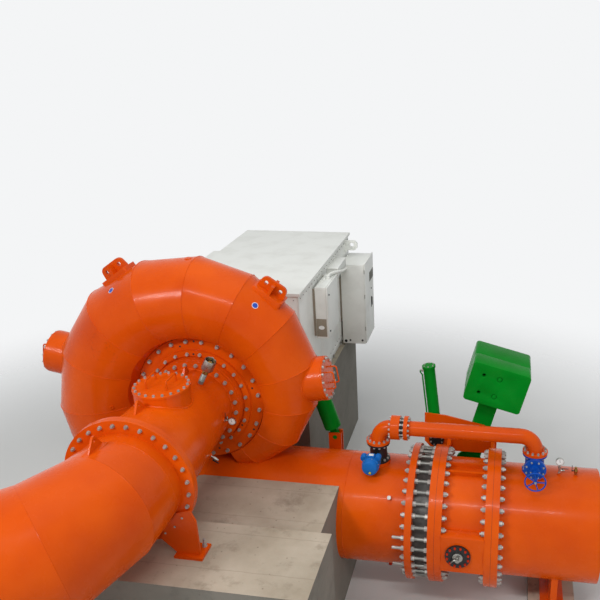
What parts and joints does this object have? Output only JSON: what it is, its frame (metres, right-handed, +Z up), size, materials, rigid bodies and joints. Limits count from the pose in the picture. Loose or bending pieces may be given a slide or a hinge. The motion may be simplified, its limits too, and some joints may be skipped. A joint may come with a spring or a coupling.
{
  "type": "hydroelectric generator",
  "caption": "Horizontal-shaft hydroelectric set: welded spiral case turbine with draft tube, butterfly inlet valve with counterweight, bypass line and boxed generator",
  "frame": {"origin": "on the ground, on the turbine's shaft line, in the middle plane of the spiral case", "axes": "+Y along the shaft from turbine to generator, +X towards the incoming water, +Z up"},
  "size_m": [7.5268, 9.0119, 4.7009],
  "materials": {
    "orange_paint": "gloss",
    "green_paint": "gloss",
    "red_oxide_paint": "gloss",
    "blue_paint": "gloss",
    "bare_steel": "satin",
    "dark_iron": "satin",
    "white_paint": "satin",
    "concrete": "matte"
  },
  "bodies": {
    "plant": {"scroll_case": "orange_paint", "inlet_pipe": "orange_paint", "regulating_ring": "green_paint", "head_cover": "orange_paint", "rear_cover": "orange_paint", "lug_left": "orange_paint", "lug_right": "orange_paint", "case_hatch_left": "orange_paint", "case_hatch_right": "orange_paint", "gate_servo": "green_paint", "draft_cone": "orange_paint", "draft_manhole_cover": "orange_paint", "air_valve": "bare_steel", "draft_gauge": "bare_steel", "draft_cock": "bare_steel", "draft_elbow": "orange_paint", "draft_support": "orange_paint", "joint_sleeve": "dark_iron", "joint_studs": "bare_steel", "joint_ring": "orange_paint", "valve_body": "orange_paint", "valve_end_cover": "dark_iron", "cylinder_bracket": "red_oxide_paint", "cylinder_barrel": "green_paint", "upstream_pipe": "orange_paint", "bypass_elbow_low": "orange_paint", "bypass_joint": "orange_paint", "bypass_seal": "dark_iron", "bypass_pipe": "orange_paint", "bypass_motor_valve": "dark_iron", "bypass_actuator": "blue_paint", "bypass_gate_valve": "blue_paint", "line_gauge": "bare_steel", "line_cock": "bare_steel", "generator_housing": "white_paint", "generator_cover": "white_paint", "generator_lug": "white_paint", "end_shield": "white_paint", "generator_base": "white_paint", "side_cabinet": "white_paint", "side_box": "white_paint", "small_box": "white_paint", "left_box": "white_paint", "turbine_shaft": "bare_steel", "generator_plinth": "concrete", "draft_plinth": "concrete", "case_plinth": "concrete", "valve_plinth": "concrete"},
    "valve_rotor": {"valve_shaft": "bare_steel", "valve_lever": "green_paint", "counterweight": "green_paint"},
    "cylinder_piston_rod": {"cylinder_rod": "bare_steel"},
    "gate_handwheel": {"bypass_handwheel": "blue_paint"}
  },
  "joints": [
    {"name": "valve_lever_turn", "type": "hinge", "parent": "plant", "child": "valve_rotor", "pos_m": [3.38, 0, 1.275], "axis": [0, 1, 0], "range_deg": [0, 90]},
    {"name": "cylinder_stroke", "type": "slide", "parent": "plant", "child": "cylinder_piston_rod", "axis": [-0.1045, 0, 0.9945], "range_m": [0, 0.781]},
    {"name": "gate_handwheel_turn", "type": "hinge", "parent": "plant", "child": "gate_handwheel", "pos_m": [4.27, -0.3, 2.148], "axis": [0, 1, 0], "continuous": true}
  ],
  "couplings": [
    {"joint": "cylinder_stroke", "follows": "valve_lever_turn", "m_per_rad": 0.49656}
  ]
}
